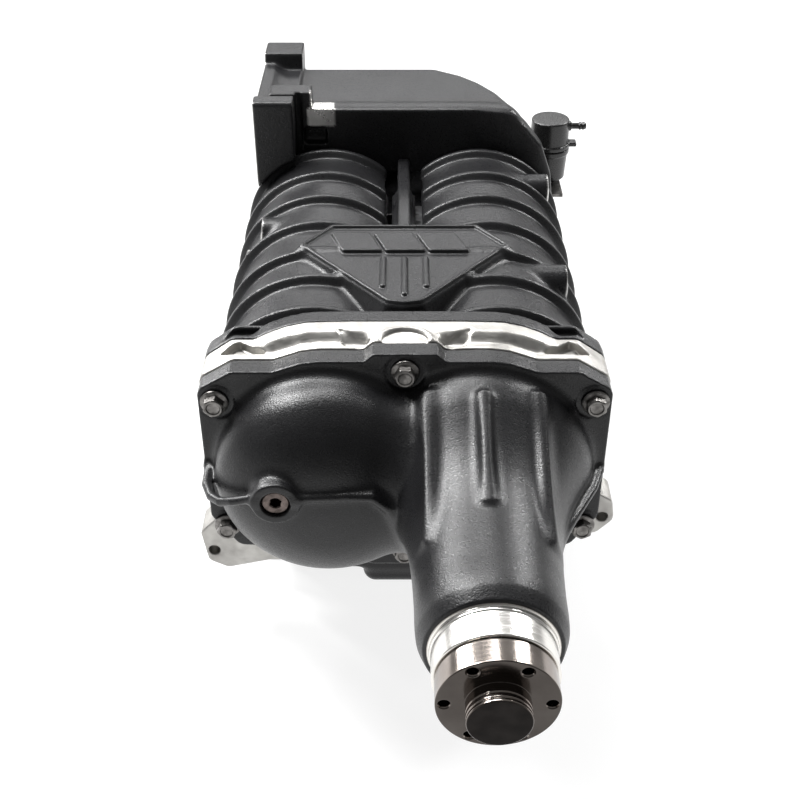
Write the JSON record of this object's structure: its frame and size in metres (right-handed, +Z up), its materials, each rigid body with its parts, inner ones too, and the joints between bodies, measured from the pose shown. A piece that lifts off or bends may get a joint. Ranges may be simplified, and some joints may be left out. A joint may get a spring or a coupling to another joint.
{
  "type": "twin-rotor supercharger",
  "caption": "Twin-rotor supercharger with ribbed black rotor case, bare aluminium bearing plate, gear cover with long drive snout, and side-inlet elbow with bypass actuator.",
  "frame": {"origin": "centre of the bounding box's bottom, on the plane the base flanges stand on", "axes": "+Y runs from the drive hub at the front to the inlet elbow at the rear, along the rotor axes; +X is the drive rotor's side; +Z up"},
  "size_m": [0.256, 0.5604, 0.232],
  "materials": {
    "black_casting": "satin black powder coat over cast aluminium",
    "bare_aluminium": "bare machined and cast aluminium",
    "machined_steel": "turned and ground steel",
    "dark_steel": "dark phosphated steel",
    "rotor_metal": "coated aluminium",
    "black_plastic": "black moulded plastic",
    "seal_rubber": "black seal rubber"
  },
  "bodies": {
    "case": {"rotor_housing": "black_casting", "bearing_plate": "bare_aluminium", "front_cover": "black_casting", "oil_fill_plug": "dark_steel", "dowel_pin_left": "machined_steel", "dowel_pin_right": "machined_steel", "cover_bolt_upper_left": "dark_steel", "cover_bolt_upper_right": "dark_steel", "cover_bolt_lower_left": "dark_steel", "cover_bolt_lower_right": "dark_steel", "cover_bolt_top": "dark_steel", "cover_bolt_bottom": "dark_steel", "inlet_elbow": "black_casting", "elbow_bolt_right": "dark_steel", "elbow_bolt_left": "dark_steel", "elbow_bolt_lower_right": "dark_steel", "elbow_bolt_lower_left": "dark_steel", "actuator_can_upper": "black_plastic", "actuator_can_lower": "black_plastic", "actuator_bracket": "dark_steel", "bracket_screw": "dark_steel", "drive_front_bearing": "machined_steel", "driven_front_bearing": "machined_steel", "drive_rear_bearing": "machined_steel", "driven_rear_bearing": "machined_steel", "drive_rotor_seal": "seal_rubber", "driven_rotor_seal": "seal_rubber", "snout_front_bearing": "machined_steel", "snout_rear_bearing": "machined_steel", "snout_seal": "seal_rubber"},
    "drive_train": {"drive_hub": "machined_steel", "input_shaft": "machined_steel", "isolator_coupling": "black_plastic", "drive_gear": "machined_steel", "drive_rotor_shaft": "machined_steel", "drive_rotor": "rotor_metal"},
    "driven_train": {"driven_gear": "machined_steel", "driven_rotor_shaft": "machined_steel", "driven_rotor": "rotor_metal"},
    "bypass_valve": {"bypass_shaft": "machined_steel", "bypass_plate": "machined_steel", "bypass_plate_screw_left": "dark_steel", "bypass_plate_screw_right": "dark_steel", "bypass_lever": "machined_steel"},
    "actuator_stem": {"actuator_rod": "machined_steel", "actuator_diaphragm": "seal_rubber"}
  },
  "joints": [
    {"name": "drive_spin", "type": "hinge", "parent": "case", "child": "drive_train", "pos_m": [0.031, -0.1648, 0.13], "axis": [0, 1, 0], "continuous": true},
    {"name": "driven_spin", "type": "hinge", "parent": "case", "child": "driven_train", "pos_m": [-0.049, 0.0422, 0.13], "axis": [0, 1, 0], "continuous": true},
    {"name": "bypass_turn", "type": "hinge", "parent": "case", "child": "bypass_valve", "pos_m": [0.051, 0.2232, 0.09], "axis": [1, 0, 0], "range_deg": [0, 85], "stiffness_Nm_per_rad": 0.17, "springref_deg": -22.92},
    {"name": "rod_slide", "type": "slide", "parent": "case", "child": "actuator_stem", "axis": [0, 0, 1], "range_m": [0, 0.01897]}
  ],
  "couplings": [
    {"joint": "driven_spin", "follows": "drive_spin", "ratio": -1},
    {"joint": "rod_slide", "follows": "bypass_turn", "m_per_rad": 0.012751}
  ]
}
